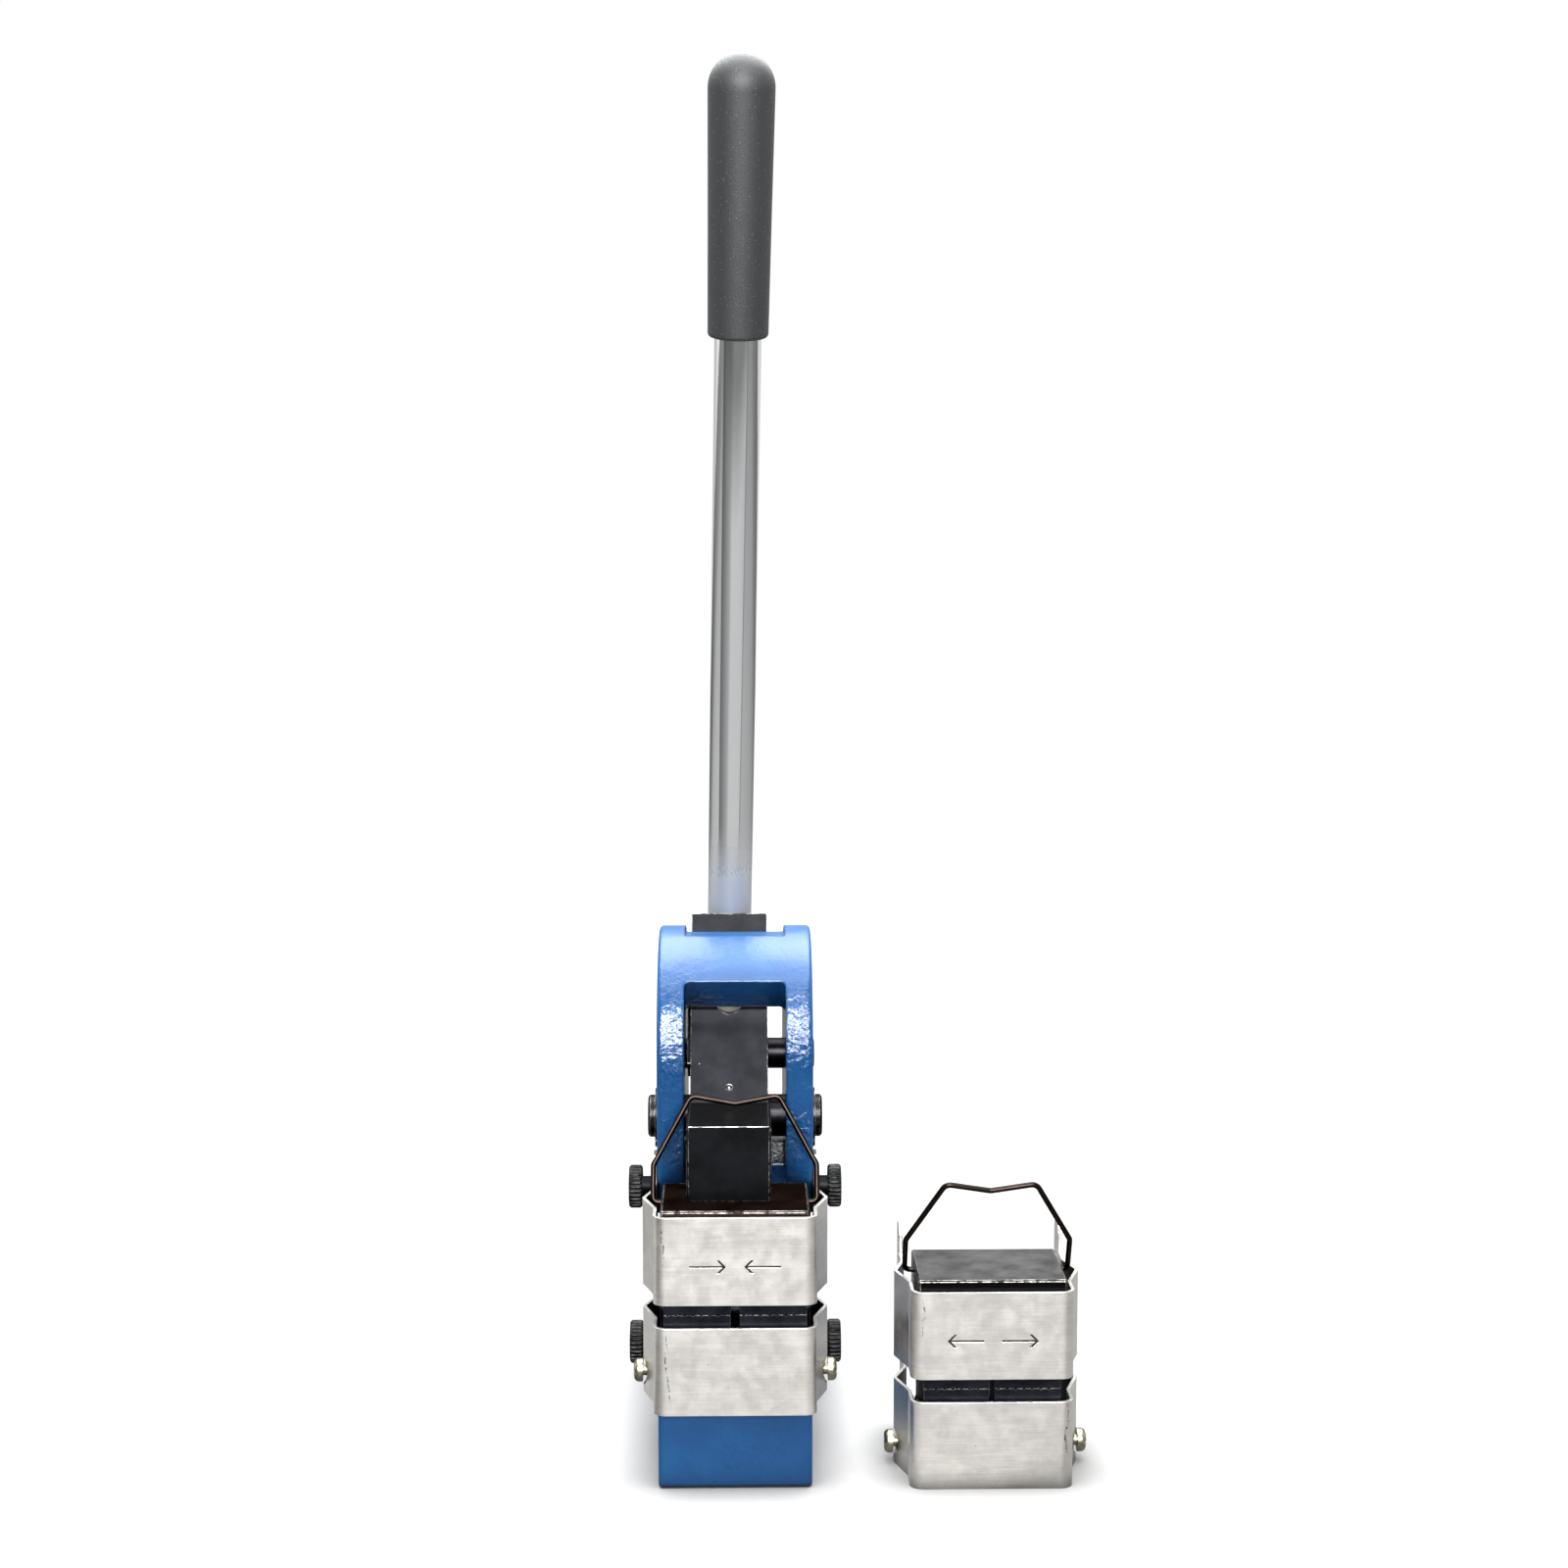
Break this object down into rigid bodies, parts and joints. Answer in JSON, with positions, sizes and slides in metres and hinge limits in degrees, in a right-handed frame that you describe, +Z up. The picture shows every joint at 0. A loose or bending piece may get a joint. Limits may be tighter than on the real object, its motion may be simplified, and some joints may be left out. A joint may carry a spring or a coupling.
{
  "type": "shrinker stretcher",
  "caption": "Hand-lever metal shrinker and stretcher: cast C-frame, pivoted ram lever with rod handle, caged wedge-and-die jaws under a wire bail, loose second jaw set beside it.",
  "frame": {"origin": "on the floor, on the tool's centre plane, right under the axis of the lever's pivot pin", "axes": "+Z up, +Y from the jaws back to the column, +X to the right seen from the front"},
  "size_m": [0.168, 0.174, 0.5044],
  "materials": {
    "blue_enamel": "glossy enamel over rough cast iron",
    "black_oxide": "black oxide, satin, bright worn edges",
    "chrome_rod": "polished chrome plate",
    "grip_rubber": "fine moulded texture",
    "stainless_strip": "brushed along the strip",
    "dark_plate": "brown-black oxide",
    "die_steel": "hardened, dark",
    "yellow_zinc": "yellow zinc plate",
    "spring_wire": "oiled spring wire",
    "bright_steel": "bright turned steel"
  },
  "bodies": {
    "frame": {"casting_foot": "blue_enamel", "casting_base": "blue_enamel", "casting_column": "blue_enamel", "casting_head": "blue_enamel", "pivot_pin": "black_oxide", "pivot_circlip_left": "black_oxide", "pivot_circlip_right": "black_oxide", "stop_pin": "black_oxide", "shrinker_lower_cage": "stainless_strip", "shrinker_lower_wedge_block": "dark_plate", "shrinker_lower_return_spring": "spring_wire", "shrinker_cage_screw_left": "yellow_zinc", "shrinker_cage_screw_right": "yellow_zinc", "stretcher_lower_cage": "stainless_strip", "stretcher_lower_wedge_block": "dark_plate", "stretcher_lower_return_spring": "spring_wire", "stretcher_cage_screw_left": "yellow_zinc", "stretcher_cage_screw_right": "yellow_zinc"},
    "lever": {"lever_arm": "black_oxide", "handle_rod": "chrome_rod", "handle_grip": "grip_rubber", "rod_lock_screw": "bright_steel"},
    "shrinker_upper_jaw": {"shrinker_upper_cage": "stainless_strip", "shrinker_upper_wedge_block": "dark_plate", "shrinker_upper_return_spring": "spring_wire"},
    "shrinker_upper_left_die": {"shrinker_upper_die_left": "die_steel"},
    "shrinker_upper_right_die": {"shrinker_upper_die_right": "die_steel"},
    "shrinker_lower_left_die": {"shrinker_lower_die_left": "die_steel"},
    "shrinker_lower_right_die": {"shrinker_lower_die_right": "die_steel"},
    "shrinker_bail": {"shrinker_bail": "spring_wire"},
    "stretcher_upper_jaw": {"stretcher_upper_cage": "stainless_strip", "stretcher_upper_wedge_block": "dark_plate", "stretcher_upper_return_spring": "spring_wire"},
    "stretcher_upper_left_die": {"stretcher_upper_die_left": "die_steel"},
    "stretcher_upper_right_die": {"stretcher_upper_die_right": "die_steel"},
    "stretcher_lower_left_die": {"stretcher_lower_die_left": "die_steel"},
    "stretcher_lower_right_die": {"stretcher_lower_die_right": "die_steel"},
    "stretcher_bail": {"stretcher_bail": "spring_wire"},
    "thumb_screw_upper_left": {"thumb_screw_upper_left": "black_oxide"},
    "thumb_screw_upper_right": {"thumb_screw_upper_right": "black_oxide"},
    "thumb_screw_lower_left": {"thumb_screw_lower_left": "black_oxide"},
    "thumb_screw_lower_right": {"thumb_screw_lower_right": "black_oxide"}
  },
  "joints": [
    {"name": "lever_pivot", "type": "hinge", "parent": "frame", "child": "lever", "pos_m": [0, 0, 0.1184], "axis": [-1, 0, 0], "range_deg": [0, 12]},
    {"name": "shrinker_jaw_lift", "type": "slide", "parent": "frame", "child": "shrinker_upper_jaw", "axis": [0, 0, 1], "range_m": [0, 0.0065]},
    {"name": "shrinker_upper_left_die_slide", "type": "slide", "parent": "shrinker_upper_jaw", "child": "shrinker_upper_left_die", "axis": [0.9397, 0, 0.342], "range_m": [0, 0.0015], "stiffness_N_per_m": 2000, "springref_m": -0.003, "deforming": ["shrinker_upper_return_spring"]},
    {"name": "shrinker_upper_right_die_slide", "type": "slide", "parent": "shrinker_upper_jaw", "child": "shrinker_upper_right_die", "axis": [-0.9397, 0, 0.342], "range_m": [0, 0.0015], "stiffness_N_per_m": 2000, "springref_m": -0.003, "deforming": ["shrinker_upper_return_spring"]},
    {"name": "shrinker_lower_left_die_slide", "type": "slide", "parent": "frame", "child": "shrinker_lower_left_die", "axis": [0.9397, 0, -0.342], "range_m": [0, 0.0015], "stiffness_N_per_m": 2000, "springref_m": -0.003, "deforming": ["shrinker_lower_return_spring"]},
    {"name": "shrinker_lower_right_die_slide", "type": "slide", "parent": "frame", "child": "shrinker_lower_right_die", "axis": [-0.9397, 0, -0.342], "range_m": [0, 0.0015], "stiffness_N_per_m": 2000, "springref_m": -0.003, "deforming": ["shrinker_lower_return_spring"]},
    {"name": "shrinker_bail_swing", "type": "hinge", "parent": "shrinker_upper_jaw", "child": "shrinker_bail", "pos_m": [0, -0.046, 0.0975], "axis": [1, 0, 0], "range_deg": [0, 50.9]},
    {"name": "stretcher_jaw_lift_off", "type": "slide", "parent": "frame", "child": "stretcher_upper_jaw", "axis": [0, 0, 1], "range_m": [0, 0.06]},
    {"name": "stretcher_upper_left_die_slide", "type": "slide", "parent": "stretcher_upper_jaw", "child": "stretcher_upper_left_die", "axis": [-0.9397, 0, 0.342], "range_m": [0, 0.0015], "stiffness_N_per_m": 2000, "springref_m": -0.003, "deforming": ["stretcher_upper_return_spring"]},
    {"name": "stretcher_upper_right_die_slide", "type": "slide", "parent": "stretcher_upper_jaw", "child": "stretcher_upper_right_die", "axis": [0.9397, 0, 0.342], "range_m": [0, 0.0015], "stiffness_N_per_m": 2000, "springref_m": -0.003, "deforming": ["stretcher_upper_return_spring"]},
    {"name": "stretcher_lower_left_die_slide", "type": "slide", "parent": "frame", "child": "stretcher_lower_left_die", "axis": [-0.9397, 0, -0.342], "range_m": [0, 0.0015], "stiffness_N_per_m": 2000, "springref_m": -0.003, "deforming": ["stretcher_lower_return_spring"]},
    {"name": "stretcher_lower_right_die_slide", "type": "slide", "parent": "frame", "child": "stretcher_lower_right_die", "axis": [0.9397, 0, -0.342], "range_m": [0, 0.0015], "stiffness_N_per_m": 2000, "springref_m": -0.003, "deforming": ["stretcher_lower_return_spring"]},
    {"name": "stretcher_bail_swing", "type": "hinge", "parent": "stretcher_upper_jaw", "child": "stretcher_bail", "pos_m": [0.0915, -0.046, 0.072], "axis": [-1, 0, 0], "range_deg": [0, 50.9]},
    {"name": "thumb_screw_upper_left_turn", "type": "hinge", "parent": "frame", "child": "thumb_screw_upper_left", "pos_m": [-0.0346, -0.02, 0.0964], "axis": [-1, 0, 0], "continuous": true},
    {"name": "thumb_screw_upper_right_turn", "type": "hinge", "parent": "frame", "child": "thumb_screw_upper_right", "pos_m": [0.0346, -0.02, 0.0964], "axis": [1, 0, 0], "continuous": true},
    {"name": "thumb_screw_lower_left_turn", "type": "hinge", "parent": "frame", "child": "thumb_screw_lower_left", "pos_m": [-0.0346, -0.02, 0.0367], "axis": [-1, 0, 0], "continuous": true},
    {"name": "thumb_screw_lower_right_turn", "type": "hinge", "parent": "frame", "child": "thumb_screw_lower_right", "pos_m": [0.0346, -0.02, 0.0367], "axis": [1, 0, 0], "continuous": true}
  ],
  "couplings": [
    {"joint": "shrinker_jaw_lift", "follows": "lever_pivot", "m_per_rad": 0.031},
    {"joint": "shrinker_upper_right_die_slide", "follows": "shrinker_upper_left_die_slide", "ratio": 1},
    {"joint": "shrinker_lower_left_die_slide", "follows": "shrinker_upper_left_die_slide", "ratio": 1},
    {"joint": "shrinker_lower_right_die_slide", "follows": "shrinker_upper_left_die_slide", "ratio": 1},
    {"joint": "stretcher_upper_right_die_slide", "follows": "stretcher_upper_left_die_slide", "ratio": 1},
    {"joint": "stretcher_lower_left_die_slide", "follows": "stretcher_upper_left_die_slide", "ratio": 1},
    {"joint": "stretcher_lower_right_die_slide", "follows": "stretcher_upper_left_die_slide", "ratio": 1}
  ]
}
